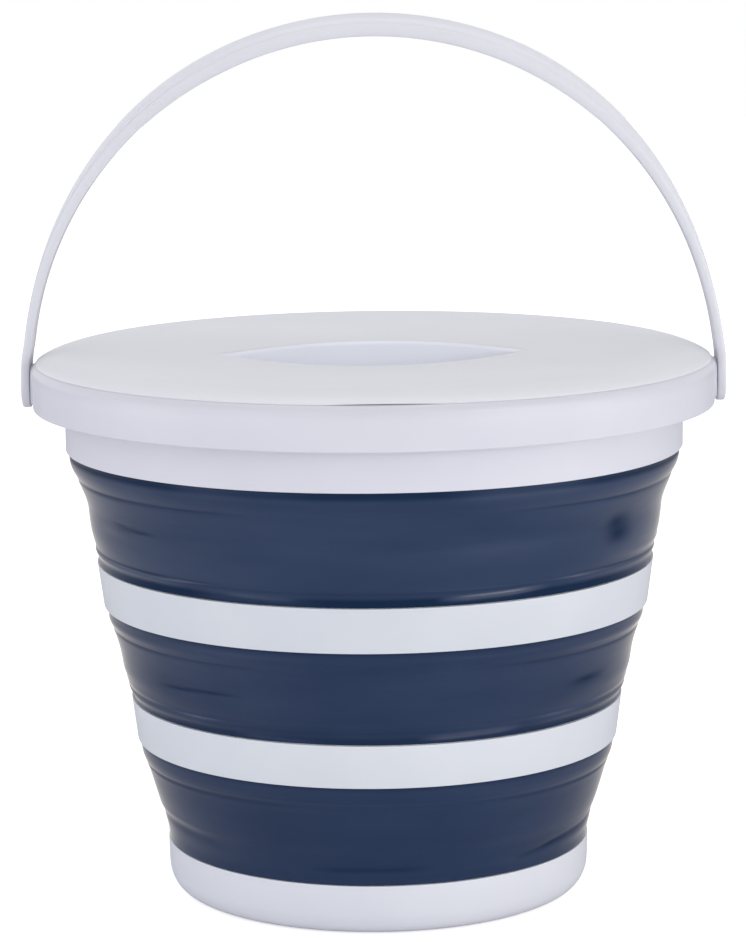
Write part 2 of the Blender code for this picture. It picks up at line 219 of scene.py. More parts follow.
def rubber_material(name, light, dark):
    """Navy thermoplastic rubber: flow streaks run round the band in its colour, polish and relief.
    Its haze grows where the surface turns away. Painted shade darkens its colour and takes away its haze and
    gloss in creases and lips, where "painted fold light" is below 1; above 1 it paints glints into haze and
    gloss."""
    material = bpy.data.materials.new(name)
    material.use_nodes = True
    tree = material.node_tree
    place = wired(tree, "ShaderNodeTexCoord", "Object")
    streaks = wired(tree, "ShaderNodeMapping", "Vector", {"Vector": place, "Scale": (1.0, 1.0, 5.0)})
    flow = wired(tree, "ShaderNodeTexNoise", "Fac", {
        "Vector": streaks, "Scale": 16.0, "Detail": 3.0, "Roughness": 0.5})
    skin = wired(tree, "ShaderNodeTexNoise", "Fac", {"Vector": place, "Scale": 900.0, "Detail": 2.0})
    painted_fold_light = wired(tree, "ShaderNodeAttribute", "Fac", attribute_name="painted fold light")
    # Painted shade: the colour turns to a darker navy in the creases and lips.
    colour = wired(tree, "ShaderNodeMix", "Result", {
        "Factor": painted_fold_light, "A": (0.006, 0.019, 0.052, 1), "B": two_tone(tree, flow, 0.3, dark, 0.7, light),
    }, data_type="RGBA")

    facing = wired(tree, "ShaderNodeLayerWeight", "Facing", {"Blend": 0.5})
    graze = wired(tree, "ShaderNodeMath", "Value", {0: facing, 1: 7.0}, operation="POWER")
    haze = wired(tree, "ShaderNodeMath", "Value", {0: graze, 1: 1.25, 2: 0.46}, operation="MULTIPLY_ADD")
    wide = wired(tree, "ShaderNodeBump", "Normal", {"Height": flow, "Strength": 0.35, "Distance": 0.0009})
    feed(tree, tree.nodes["Principled BSDF"], {
        "IOR": 1.5,
        "Base Color": colour,
        # Painted shade and glints: haze and gloss are scaled by the painted fold light.
        "Sheen Weight": wired(tree, "ShaderNodeMath", "Value", {0: haze, 1: painted_fold_light}, operation="MULTIPLY"),
        "Sheen Roughness": 0.38,
        "Sheen Tint": (1.0, 0.94, 0.88, 1),
        "Specular IOR Level": wired(tree, "ShaderNodeMath", "Value", {0: 0.5, 1: painted_fold_light}, operation="MULTIPLY"),
        "Roughness": wired(tree, "ShaderNodeMapRange", "Result", {
            "Value": flow, "To Min": 0.28, "To Max": 0.46}),
        "Normal": wired(tree, "ShaderNodeBump", "Normal", {
            "Height": skin, "Strength": 0.10, "Distance": 0.0001, "Normal": wide}),
    })
    return material


def eased(t):
    """A share held between 0 and 1 that starts and ends softly."""
    t = min(max(t, 0), 1)
    return t * t * (3 - 2 * t)


def crease_share(a, z, crease):
    """How much of a crease lies at a point. A crease is its depth in millimetres, how much painted light it
    adds or, below zero, how much painted shade it lays on, its half height in millimetres, and its path of
    points: the turn in degrees from the front, the height in millimetres and the strength."""
    turn = (math.degrees(a) + 90 + 180) % 360 - 180
    path = crease[3:]
    for (turn0, z0, share0), (turn1, z1, share1) in zip(path, path[1:]):
        if turn0 <= turn < turn1:
            t = (turn - turn0) / (turn1 - turn0)
            up = (z / MM - z0 - (z1 - z0) * t) / crease[2]
            return (share0 + (share1 - share0) * eased(t)) * math.exp(-up * up)
    return 0.0


def soft_skin(creases):
    """The unevenness of a soft moulding: a slight waviness, and the creases left by folding."""
    swell = 0.12 * MM

    def ripple(a, z):
        wave = 0.5 * math.sin(5 * a + 140 * z) + 0.3 * math.sin(11 * a - 210 * z + 1.0)
        wave += 0.2 * math.sin(17 * a + 90 * z + 2.0)
        return swell * wave - MM * sum(crease[0] * crease_share(a, z, crease) for crease in creases)

    return ripple


def paint_fold_light(band, foot, head, creases):
    """Stores the painted light and shade of each point: 1 where none is painted, less where painted shade lies
    in the creases and in the tucked lips of both ends, each lip given by its strength and the height in
    millimetres where it begins, and more where creases paint glints."""
    fade = 3.0  # millimetres over which a lip darkens
    held = band.data.attributes.new("painted fold light", "FLOAT", "POINT")
    for point, value in zip(band.data.vertices, held.data):
        a, z = math.atan2(point.co.y, point.co.x), point.co.z
        # Painted shade: the lip of the foot is painted less dark at the sides.
        flank = min(max((abs(math.cos(a)) - 0.76) / 0.2, 0), 1)  # the foot lies more open at the sides
        low = min(max((foot[1] - z / MM) / fade, 0), 1) * (1 - 0.6 * flank)
        high = (z / MM - head[1]) / fade
        value.value = 1 - foot[0] * eased(low) - head[0] * eased(high)
        for crease in creases:
            share = crease[1] * crease_share(a, z, crease)
            value.value = value.value * (1 + share) if share < 0 else value.value + share


lower_band = turned(
    "band_lower_skin", band_section(lower_face, lower_back), steps=band_steps,
    ripple=soft_skin(lower_creases))
# Painted shade on the lips of the foot and the head, and painted light and shade along the creases.
paint_fold_light(lower_band, foot=(0.12, 30.0), head=(0.4, 70.0), creases=lower_creases)
lower_band.data.materials.append(
    rubber_material("lower rubber", light=(0.013, 0.033, 0.092), dark=(0.008, 0.026, 0.079)))
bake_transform(lower_band)
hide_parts("flex_band_lower")

# Lower ring: a stiff white polypropylene hoop, moulded with a slot under it and a tongue over it.
# The lower band's head sits in the slot and the middle band grips the tongue.
ring_low = turned("ring_lower_shell", rounded([
    (114.1, 73.0, 0.3), (116.6, 93.0, 0.3), (115.1, 93.0, 0), (115.1, 97.6, 0.3), (114.1, 97.6, 0.3),
    (111.3, 77.6, 0), (112.6, 77.6, 0), (112.6, 73.0, 0.2)]))
ring_low.data.materials.append(
    shell_material("lower ring shell", light=(0.70, 0.72, 0.775), dark=(0.67, 0.69, 0.75), rough=0.40))
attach(ring_low, "lower_ring")
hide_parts("ring_lower")

# Middle folding band: the same navy rubber, moulded onto both rings, flatter in its panel than the lower one.
# Folding has left short creases at its sides, darkened with painted shade, and its foot carries a painted glint
# right of the middle.
middle_face = [
    (115.7, 93.3), (115.8, 94.6), (116.5, 96.2), (117.4, 97.6), (117.9, 98.8), (117.9, 99.8), (117.8, 100.8),
    (118.2, 102.2), (119.0, 104.2), (120.3, 108.5), (121.1, 113.3), (122.1, 118.2), (123.5, 123.0),
    (124.6, 126.2), (125.0, 127.6), (125.4, 128.6), (125.9, 129.8), (126.4, 131.2), (126.7, 132.8),
    (126.8, 134.4), (127.0, 135.8), (127.3, 137.3)]
middle_back = [
    (126.6, 137.4), (126.5, 141.6), (125.6, 141.6), (125.4, 137.0), (125.0, 133.0), (123.6, 128.4),
    (121.8, 123.1), (120.3, 118.2), (119.3, 113.3), (118.5, 108.5), (117.4, 104.4), (116.6, 101.8),
    (116.0, 99.8), (115.4, 97.9), (115.4, 93.3)]
middle_creases = [
    # The groove of the upper fold, darkened with painted shade, and the bead over it, painted paler.
    (0.25, -0.4, 0.9, (-88, 128.0, 0.4), (-60, 128.0, 1), (-40, 128.0, 0.8), (-15, 128.0, 0)),
    (0.25, -0.4, 0.9, (15, 128.0, 0), (40, 128.0, 0.8), (60, 128.0, 1), (88, 128.0, 0.4)),
    (-0.1, 0.6, 1.3, (-90, 131.0, 1.6), (-60, 131.0, 1), (-36, 131.0, 0.3), (-15, 131.0, 0)),
    (-0.1, 0.6, 1.3, (20, 131.0, 0), (38, 131.0, 0.5), (50, 131.0, 1), (90, 131.0, 2)),
    # A short crease and a dent in the panel, each darkened with painted shade and set in a wide faint painted
    # shade.
    (0.4, -0.75, 1.0, (-57, 111.9, 0), (-47, 112.4, 1), (-38, 113.2, 0.9), (-27, 113.7, 0)),
    (0.5, -0.8, 2.1, (43, 113.4, 0), (52, 113.7, 1), (61, 114.4, 0)),
    (0, -0.22, 9.0, (-68, 112, 0), (-52, 112, 1), (-40, 112, 0.6), (-25, 112, 0)),
    (0, -0.18, 9.0, (28, 112, 0), (44, 112, 1), (58, 112, 0.8), (70, 112, 0)),
    # The foot: ridges lightened with painted light over a groove of painted shade at the sides, the bead
    # pressed flat and darkened with painted shade at the front, two painted glints in its lip.
    (-0.45, 0.15, 1.6, (-90, 102.3, 1), (-62, 101.9, 1), (-45, 100.6, 0)),
    (-0.45, 0.15, 1.6, (45, 100.6, 0), (60, 101.8, 1), (90, 102.3, 1)),
    (0, -0.35, 1.5, (-90, 98.4, 1), (-58, 98.3, 1), (-46, 98.3, 0)),
    (0, -0.35, 1.5, (46, 98.3, 0), (58, 98.3, 1), (90, 98.4, 1)),
    (0.5, -0.3, 1.9, (-46, 98.9, 0), (-32, 98.9, 1), (32, 98.9, 1), (46, 98.9, 0)),
    (-0.5, 2.0, 1.2, (8, 95.9, 0), (15, 96.1, 1), (26, 96.7, 0.8), (35, 97.3, 0)),
    (-0.1, 0.6, 1.2, (-34, 95.2, 0), (-27, 94.9, 1), (-19, 94.4, 0.7), (-10, 94.2, 0))]
middle_band = turned(
    "band_middle_skin", band_section(middle_face, middle_back), steps=band_steps,
    ripple=soft_skin(middle_creases))
# Painted shade on the lips of the foot and the head, and painted light and shade along the creases.
paint_fold_light(middle_band, foot=(0.6, 98.0), head=(0.4, 134.5), creases=middle_creases)
middle_band.data.materials.append(
    rubber_material("middle rubber", light=(0.014, 0.034, 0.093), dark=(0.008, 0.026, 0.079)))
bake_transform(middle_band)
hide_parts("flex_band_middle")

# Upper ring: the second stiff white hoop, a size larger, with the same slot and tongue.
# The middle band's head sits in the slot and the upper band grips the tongue.
ring_up = turned("ring_upper_shell", rounded([
    (128.7, 137.6, 0.3), (131.4, 158.2, 0.3), (129.8, 158.2, 0), (129.8, 162.8, 0.3), (128.8, 162.8, 0.3),
    (125.6, 142.2, 0), (126.9, 142.2, 0), (126.9, 137.6, 0.2)]))
ring_up.data.materials.append(
    shell_material("upper ring shell", light=(0.68, 0.70, 0.755), dark=(0.65, 0.67, 0.73), rough=0.40))
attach(ring_up, "upper_ring")
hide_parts("ring_upper")

# Upper folding band: the tallest one, of the same navy rubber, moulded onto the upper ring and the rim.
# A deep lip tucks up under the rim's tier, darkened with painted shade; folding has left a dent at the right
# and creases at both sides, darkened with painted shade too.
upper_face = [
    (130.6, 158.5), (130.6, 160.0), (130.8, 161.4), (131.3, 162.8), (131.8, 164.0), (132.0, 165.0),
    (131.9, 166.2), (132.2, 167.6), (133.1, 170.6), (134.1, 175.0), (134.8, 180.0), (135.5, 186.0),
    (136.7, 190.4), (138.2, 194.4), (139.4, 197.4), (139.9, 199.0), (140.2, 200.0), (140.8, 201.1),
    (141.5, 202.3), (142.2, 203.7), (142.8, 205.2), (143.2, 207.0), (143.4, 208.8), (143.7, 210.2),
    (144.4, 211.4)]
upper_back = [
    (143.5, 211.6), (143.2, 216.0), (142.4, 216.0), (141.9, 211.0), (141.0, 207.0), (139.9, 203.0),
    (138.4, 199.6), (136.6, 194.6), (134.9, 190.4), (133.7, 186.0), (133.0, 180.0), (132.5, 175.0),
    (131.7, 171.0), (131.0, 168.4), (130.5, 166.4), (130.1, 163.1), (130.1, 158.5)]
upper_creases = [
    # The groove of the upper fold, darkened with painted shade.
    (0.25, -0.5, 0.9, (-88, 199.0, 0.3), (-60, 199.2, 1), (-38, 199.4, 0.8), (-20, 199.6, 0)),
    (0.25, -0.5, 0.9, (22, 200.4, 0), (38, 200.1, 0.8), (54, 199.7, 1), (64, 200.1, 0.6), (88, 200.3, 0.3)),
    # A crease over a ridge at the left, and the dent at the right, two hollows in a wide painted shade over a
    # ridge;
    # the creases and hollows are darkened with painted shade, the ridges lightened with painted light.
    (0.4, -0.65, 1.0, (-62, 186.0, 0), (-56, 185.3, 1), (-51, 184.8, 1), (-45, 184.3, 0)),
    (-0.3, 0.3, 1.8, (-70, 182.6, 0), (-61, 182.2, 1), (-53, 181.2, 0.6), (-45, 181.0, 0)),
    (0.5, -0.8, 4.2, (47.5, 187.0, 0), (53.2, 187.0, 1), (59.5, 187.0, 0)),
    (0.5, -0.85, 4.2, (48, 181.0, 0), (54.3, 181.0, 1), (61, 181.0, 0)),
    (0.2, -0.2, 7.0, (40, 183.5, 0), (54, 183.5, 1), (70, 183.5, 0)),
    (-0.35, 0.3, 1.8, (47, 171.2, 0), (56, 171.4, 0.6), (66, 169.6, 1), (88, 169.2, 1)),
    # The foot: creases darkened with painted shade over a ridge lightened with painted light at the sides, the
    # bead pressed flat and darkened with painted shade at the front, painted light and glints in its lip.
    (0.3, -0.75, 0.8, (-88, 166.0, 0.5), (-62, 166.1, 0.7), (-50, 166.0, 1), (-40, 165.9, 0.5),
     (-28, 165.8, 0)),
    (0.3, -0.5, 1.0, (38, 166.6, 0), (47, 166.6, 0.6), (55, 166.4, 1), (62, 165.9, 1), (70, 165.5, 0.7),
     (88, 165.3, 0.3)),
    (-0.15, 0.3, 1.1, (-88, 163.8, 1), (-48, 163.6, 1), (-38, 163.6, 0)),
    (0.3, -0.35, 1.4, (-46, 164.6, 0), (-33, 164.6, 1), (33, 164.6, 1), (46, 164.6, 0)),
    (0, 0.5, 2.5, (-40, 161.5, 0), (-30, 161.5, 1), (-20, 161.3, 1), (-8, 161.0, 0)),
    (-0.5, 3.0, 1.1, (11, 161.3, 0), (18, 161.6, 1), (27, 162.1, 1), (37, 163.3, 0)),
    (-0.2, 1.2, 0.9, (-32, 162.3, 0), (-26, 162.0, 1), (-20, 161.6, 0.8), (-14, 161.2, 0)),
    # Painted light, as if light reached up under the tier at both sides of the middle.
    (0, 0.45, 4.0, (-42, 210.0, 0), (-31, 210.0, 1), (-20, 210.0, 0.6), (-8, 210.0, 0)),
    (0, 0.6, 4.0, (10, 210.0, 0), (22, 210.0, 1), (32, 210.0, 1), (46, 210.0, 0))]
upper_band = turned(
    "band_upper_skin", band_section(upper_face, upper_back), steps=band_steps,
    ripple=soft_skin(upper_creases))
# Painted shade on the lips of the foot and the head, and painted light and shade along the creases.
paint_fold_light(upper_band, foot=(0.88, 164.0), head=(0.8, 206.5), creases=upper_creases)
upper_band.data.materials.append(
    rubber_material("upper rubber", light=(0.017, 0.039, 0.102), dark=(0.011, 0.031, 0.088)))
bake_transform(upper_band)
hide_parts("flex_band_upper")

# Rim collar: one white polypropylene moulding. An upright tier carries the band, and a flange folds out
# and down over it as a skirt, with a rolled bead at its top edge and a pivot hole through it at each side.
pivot_height, pin_hole = 0.241, 0.0043


def settle(piece):
    """Turns a piece and its modifiers into a plain mesh."""
    graph = bpy.context.evaluated_depsgraph_get()
    mesh = bpy.data.meshes.new_from_object(piece.evaluated_get(graph))
    piece.modifiers.clear()
    piece.data = mesh


def paint_light_by_height(material, *stops):
    """Paints light and shade into a material's colour by height, from (height in metres, strength) stops that
    start with 1.
    """
    tree = material.node_tree
    place = wired(tree, "ShaderNodeTexCoord", "Object")
    height = wired(tree, "ShaderNodeSeparateXYZ", "Z", {"Vector": place})
    tone = tree.nodes["Principled BSDF"].inputs["Base Color"]
    colour = tone.links[0].from_socket
    for (z0, share0), (z1, share1) in zip(stops, stops[1:]):
        step = wired(tree, "ShaderNodeMapRange", "Result", {
            "Value": height, "From Min": z0, "From Max": z1, "To Min": 1.0, "To Max": share1 / share0,
        }, interpolation_type="SMOOTHSTEP")
        colour = wired(tree, "ShaderNodeVectorMath", "Vector", {0: colour, "Scale": step}, operation="SCALE")
    tree.links.new(colour, tone)


collar = turned("rim_collar_shell", rounded([
    (145.0, 211.7, 0.35), (145.0, 249.8, 1.0), (155.8, 249.8, 1.6), (157.7, 247.4, 1.0), (157.3, 231.7, 0.4),
    (159.7, 231.7, 0.5), (160.2, 247.6, 0), (160.08, 248.79, 0), (159.74, 249.9, 0), (159.2, 250.85, 0),
    (158.5, 251.58, 0), (157.68, 252.04, 0), (156.8, 252.2, 0), (142.2, 252.2, 0.6), (142.2, 216.3, 0),
    (143.9, 216.3, 0), (143.9, 211.7, 0.2)]))
shell = shell_material("collar shell", light=(0.72, 0.71, 0.785), dark=(0.69, 0.685, 0.765), rough=0.38)
# Painted shade: the colour darkens up the skirt to the lid's edge, and the tier under the flange keeps a
# lighter colour than the skirt, painted light against the flange's shade.
paint_light_by_height(shell, (0.2300, 1.0), (0.2330, 0.95), (0.2440, 0.94), (0.2515, 0.84))
collar.data.materials.append(shell)
for side in (-1, 1):
    bm = bmesh.new()
    place = Matrix.Translation((side * 0.159, 0, pivot_height)) @ Matrix.Rotation(math.tau / 4, 4, "Y")
    bmesh.ops.create_cone(
        bm, cap_ends=True, segments=48, radius1=pin_hole, radius2=pin_hole, depth=0.008, matrix=place)
    drill = as_piece(bm, "pivot_drill")
    cut = collar.modifiers.new("pivot hole", "BOOLEAN")
    cut.operation = "DIFFERENCE"
    cut.solver = "EXACT"
    cut.object = drill
    settle(collar)
    bpy.data.objects.remove(drill, do_unlink=True)
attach(collar, "rim")
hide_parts("rim_collar")

# Pivot pads: low plates moulded on the skirt round each pivot hole, so that the bail rubs on them only.
# Their corners are rounded and they are nearly as wide as the strap, which leaves a shallow slit at its edge.
pad_wide, pad_tall, pad_points, squareness = 9.5, 9.2, 64, 0.45
pad_steps = [  # distance from the centre line, growth of the outline, outline or hole
    (158.6, 0.0, True), (160.5, 0.0, True), (160.7, -0.3, True), (160.7, 0.0, False), (158.6, 0.0, False)]
for side, word in ((-1, "left"), (1, "right")):
    bm = bmesh.new()
    loops = []
    for x, grow, outside in pad_steps:
        loop = []
        for k in range(pad_points):
            a = math.tau * k / pad_points
            c, s = math.cos(a), math.sin(a)
            if outside:
                y = math.copysign(abs(c) ** squareness, c) * (pad_wide + grow)
                z = math.copysign(abs(s) ** squareness, s) * (pad_tall + grow)
            else:
                y, z = c * pin_hole / MM, s * pin_hole / MM
            loop.append(bm.verts.new((side * x * MM, y * MM, z * MM + pivot_height)))
        loops.append(loop)
    for near, far in zip(loops, loops[1:] + loops[:1]):
        for k in range(pad_points):
            bm.faces.new((near[k - 1], near[k], far[k], far[k - 1]))
    pad = as_piece(bm, "pivot_pad_" + word)
    pad.data.materials.append(shell)
    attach(pad, "rim")

# Ribs: sixteen thin webs moulded under the flange between the tier and the skirt, which keep the rim round.
# One web is drawn on the X axis, and the node tree sets all of them round the rim.
rib_outline = [
    (144.2, 235.2), (144.2, 250.4), (157.0, 250.4), (158.2, 248.4), (158.2, 234.6), (157.0, 235.6),
    (146.0, 235.6)]
rib_count, half_thick = 16, 0.8


def skinned(name, sections, sharp=40.0):
    """Skins equal closed sections one after another and caps both ends."""
    bm = bmesh.new()
    loops = [[bm.verts.new(p) for p in section] for section in sections]
    for near, far in zip(loops, loops[1:]):
        for i in range(len(near)):
            bm.faces.new((near[i - 1], near[i], far[i], far[i - 1]))
    bm.faces.new(loops[0])
    bm.faces.new(loops[-1])
    return as_piece(bm, name, sharp)


rib = skinned("rim_rib", [
    [(x * MM, side * half_thick * MM, z * MM) for x, z in rib_outline] for side in (-1, 1)])
group = bpy.data.node_groups.new("ribs round the rim", "GeometryNodeTree")
sockets = group.interface
sockets.new_socket("Geometry", in_out="INPUT", socket_type="NodeSocketGeometry")
count = sockets.new_socket("Rib count", in_out="INPUT", socket_type="NodeSocketInt")
turn = sockets.new_socket("First rib", in_out="INPUT", socket_type="NodeSocketFloat")
paint = sockets.new_socket("Plastic", in_out="INPUT", socket_type="NodeSocketMaterial")
sockets.new_socket("Geometry", in_out="OUTPUT", socket_type="NodeSocketGeometry")
given = group.nodes.new("NodeGroupInput").outputs
spots = wired(group, "GeometryNodePoints", "Points", {"Count": given["Rib count"]})
index = wired(group, "GeometryNodeInputIndex", "Index")
share = wired(group, "ShaderNodeMath", "Value", {0: index, 1: given["Rib count"]}, operation="DIVIDE")
angle = wired(
    group, "ShaderNodeMath", "Value", {0: share, 1: math.tau, 2: given["First rib"]}, operation="MULTIPLY_ADD")
spin = wired(group, "ShaderNodeCombineXYZ", "Vector", {"Z": angle})
copies = wired(group, "GeometryNodeInstanceOnPoints", "Instances", {
    "Points": spots, "Instance": given["Geometry"], "Rotation": spin})
real = wired(group, "GeometryNodeRealizeInstances", "Geometry", {"Geometry": copies})
coat = wired(group, "GeometryNodeSetMaterial", "Geometry", {"Geometry": real, "Material": given["Plastic"]})
feed(group, group.nodes.new("NodeGroupOutput"), {"Geometry": coat})
ring_of = rib.modifiers.new("ribs", "NODES")
ring_of.node_group = group
ring_of[count.identifier] = rib_count
ring_of[turn.identifier] = math.tau / (2 * rib_count)
ring_of[paint.identifier] = shell
rib.data.materials.append(shell)
settle(rib)
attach(rib, "rim")

# Lid: one white moulding that presses into the rim. Its dished top has a rounded shoulder, a lens-shaped
# finger trough sunk in the middle and, underneath, a plug ring; a thumb notch lifts the edge at the front.
half_long, half_wide, drop, plate = 73.0, 46.0, 9.4, 2.2
dish_middle, dish_rise, dish_reach = 254.0, 3.7, 149.3
edge_blend, level_up = 0.5, 0.02
round_from, trough_rim = 100.0, 1.03
notch_rise, notch_half, notch_off, notch_from = 0.5, 26.0, 2.0, 151.0
lid_turn = math.radians(2.0)


def lid_top(x, y):
    """The height of the lid's top: a shallow dish, and the trough, which meets it in a softened edge."""
    dish = dish_middle + dish_rise * (x * x + y * y) / dish_reach**2
    full = 1 - (x / half_long) ** 2
    inside = full - abs(y) / half_wide
    depth = drop * full * (1 - (abs(y) / (half_wide * full)) ** 3) if inside > 0 else 3 * drop * inside
    return dish - 0.5 * (depth + math.sqrt(depth * depth + edge_blend)) + level_up


def lens_reach(a):
    """The distance from the middle to the trough's edge in one direction."""
    c, s = abs(math.cos(a)), abs(math.sin(a))
    if c < 1e-6:
        return half_wide
    b = s / half_wide
    return (math.sqrt(b * b + 4 * c * c / half_long**2) - b) / (2 * c * c / half_long**2)


# Rings from the middle of the top out over the edge and back underneath. "lens" rings are shares of the
# trough's reach, "mix" rings turn from its lens to a circle, "round" and "under" ones follow the dish, less
# a drop, and "edge" rings have heights of their own.
rings = [("lens", t) for t in (
    0.0, 0.12, 0.24, 0.36, 0.48, 0.6, 0.7, 0.8, 0.87, 0.92, 0.95, 0.97, 0.985, 1.0, 1.015, trough_rim)]
rings += [("mix", t) for t in (0.06, 0.12, 0.2, 0.3, 0.42, 0.56, 0.72, 0.88, 1.0)]
rings += [("round", r, lift) for r, lift in (
    (112.0, 0), (126.0, 0), (138.0, 0), (142.0, -0.06), (144.6, -0.3), (147.0, -0.79), (149.3, -1.45),
    (151.5, -2.2), (153.5, -3.0), (155.2, -3.82), (156.5, -4.55), (157.4, -5.12), (157.9, -5.55))]
rings += [("edge", r, z) for r, z in (
    (158.05, 252.3), (158.05, 251.95), (157.7, 252.07), (156.8, 252.22), (155.4, 252.3), (152.6, 252.4),
    (150.0, 252.5), (149.4, 252.9))]
rings += [("under", r, lift) for r, lift in ((148.6, 1.0), (146.0, 0.44), (142.2, 0.05))]
rings += [("edge", r, z) for r, z in (
    (141.5, 250.2), (141.4, 245.2), (141.0, 244.5), (139.6, 244.5), (139.2, 245.2), (139.1, 250.2))]
rings += [("under", r, 0) for r in (138.4, 126.0, 112.0)]
rings += [("undermix", t) for t in (1.0, 0.72, 0.42, 0.2, 0.06)]
rings += [("underlens", t) for t in (trough_rim, 1.0, 0.97, 0.92, 0.8, 0.6, 0.36, 0.0)]
lid_steps = 320
bm = bmesh.new()
loops = []
for ring in rings:
    kind, size = ring[0], ring[1]
    loop = []
    for k in range(lid_steps):
        a = math.tau * k / lid_steps
        if kind.endswith("lens"):
            r = lens_reach(a) * size
        elif kind.endswith("mix"):
            r = lens_reach(a) * trough_rim
            r += (round_from - r) * size
        else:
            r = size
        x, y = r * math.cos(a), r * math.sin(a)
        if kind == "edge":
            z = ring[2]
            if y < 0 and r > notch_from:
                z += max(0.0, notch_rise * (1 - ((x + notch_off) / notch_half) ** 2))
        else:
            z = lid_top(x, y)
            if kind == "round":
                z += ring[2]
            if kind.startswith("under"):
                z -= plate
            if kind == "under":
                z -= ring[2]
        loop.append(bm.verts.new((x * MM, y * MM, z * MM)))
    loops.append(loop)
for near, far in zip(loops, loops[1:]):
    for k in range(lid_steps):
        bm.faces.new((near[k - 1], near[k], far[k], far[k - 1]))
lid = as_piece(bm, "lid_shell", sharp=50.0)
lid.data.transform(Matrix.Rotation(lid_turn, 4, "Z"))
lid.data.materials.append(
    shell_material("lid shell", light=(0.70, 0.70, 0.74), dark=(0.68, 0.68, 0.72), rough=0.36))
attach(lid, "lid")
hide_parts("lid")

# Grip: an upright web along the middle of the trough, moulded with the lid; its rounded crest
# rises in an arch above the lid and dies into the plate at both tips.
grip_half_long, grip_steps = 74.5, 64
web_foot, web_sink, web_top, web_arch = 252.2, 10.4, 253.7, 6.0
web_wall = [(3.4, 0.0), (3.1, 0.35), (2.9, 0.62)]  # half width, share of the height
web_crest = [  # half width, depth under the top
    (2.75, 1.5), (2.45, 0.8), (1.95, 0.36), (1.2, 0.12), (0.45, 0.02)]
sections = []
for k in range(grip_steps + 1):
    along = 2 * k / grip_steps - 1
    full = 1 - along * along
    low = web_foot - web_sink * full
    high = web_top + web_arch * full
    tall = high - low
    right = [(w, low + tall * share) for w, share in web_wall]
    right += [(w, high - min(depth, tall * 0.3)) for w, depth in web_crest]
    left = [(-w, z) for w, z in reversed(right)]
    sections.append([(grip_half_long * along * MM, w * MM, z * MM) for w, z in right + left])
grip = skinned("lid_grip", sections)
grip.data.transform(Matrix.Rotation(lid_turn, 4, "Z"))
# Painted light: the grip, though moulded with the lid, gets a lighter, bluer colour than the lid, which lights
# its face and crest.
grip_painted_light_shell = shell_material("grip shell painted light", light=(0.86, 0.87, 0.95), dark=(0.84, 0.85, 0.93), rough=0.34)
# Painted light and shade by height: lighter low in the trough, where shade falls, darker up the web and lighter
# again at the crest's top.
paint_light_by_height(grip_painted_light_shell, (0.2440, 1.0), (0.2575, 0.87), (0.2600, 0.93))
grip.data.materials.append(grip_painted_light_shell)
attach(grip, "lid")

# Bail: one white moulding, a slim strap at the sides that thickens into a crowned grip overhead,
# with a flat palm side, soft edges and squared tabs that lie on the pivot pads.
inner, strap_half, strap_thick, tab_half = 161.0, 9.0, 4.0, 10.0
grip_wider, grip_thicker, crown_least, crown_more = 2.0, 1.8, 0.25, 4.45
tab_drop, tab_soft = 10.6, 1.5
bend_from, bend_over = 8.0, 14.0
lean_mid, lean_side, lean_most = 0.85, 1.6, 0.68
bail_steps, foot_steps = 160, 10


def bail_profile(half, edge, crown):
    """The strap's section as (distance from the palm side, place across): flat sides and a crowned back."""
    soft = min(0.9, half * 0.3)
    corners = [
        (0, -half + soft), (0.25, -half + soft * 0.3), (0.9, -half), (edge - 0.7, -half),
        (edge - 0.25, -half + soft * 0.3), (edge, -half + soft), (edge + crown * 0.08, -half + soft),
        (edge + crown * 0.30, -half * 0.88), (edge + crown * 0.58, -half * 0.70),
        (edge + crown * 0.82, -half * 0.46), (edge + crown * 0.95, -half * 0.23), (edge + crown, 0)]
    return corners + [(r, -w) for r, w in reversed(corners[:-1])]


def strap_foot(side):
    """The squared tab below the pivot, from its lowest edge up to the strap."""
    feet = []
    for k in range(foot_steps):
        a = math.radians(3 + 87 * k / (foot_steps - 1))
        half, edge = tab_half * math.sin(a) ** 0.6, strap_thick - tab_soft * (1 - math.sin(a)) ** 2
        feet.append([(side * (inner + r) * MM, w * MM, -tab_drop * math.cos(a) * MM)
                     for r, w in bail_profile(half, edge, crown_least * math.sin(a))])
    return feet


sections = strap_foot(1)
for k in range(bail_steps + 1):
    a = math.pi * k / bail_steps
    part = min(a, math.pi - a) / (math.pi / 2)
    grow = eased((part - 0.05) / 0.7)
    half = tab_half + (strap_half - tab_half) * eased(part / 0.1) + grip_wider * grow
    # The strap stays upright beside the pivot and bends over into the arch above it.
    bend = min(max((inner * math.sin(a) - bend_from) / bend_over, 0), 1)
    shift = math.copysign(inner * (1 - abs(math.cos(a))) * (1 - bend) ** 2, math.cos(a))
    # The arch leans to one side, its left leg no further in than lets it swing down past the rim.
    lean = (lean_mid - lean_side * math.cos(a)) * eased(math.sin(a) / 0.35)
    shift += min(lean, lean_most / max(abs(math.cos(a)), 0.01))
    profile = bail_profile(half, strap_thick + grip_thicker * grow, crown_least + crown_more * grow)
    sections.append([
        (((inner + r) * math.cos(a) + shift) * MM, w * MM, (inner + r) * math.sin(a) * MM) for r, w in profile])
sections += reversed(strap_foot(-1))
bail = skinned("bail_shell", sections, sharp=75.0)
bail.data.transform(Matrix.Translation((0, 0, pivot_height)))
bail_shell = shell_material("bail shell", light=(0.685, 0.68, 0.735), dark=(0.665, 0.66, 0.715), rough=0.36)
bail.data.materials.append(bail_shell)
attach(bail, "bail")
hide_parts("bail_handle")

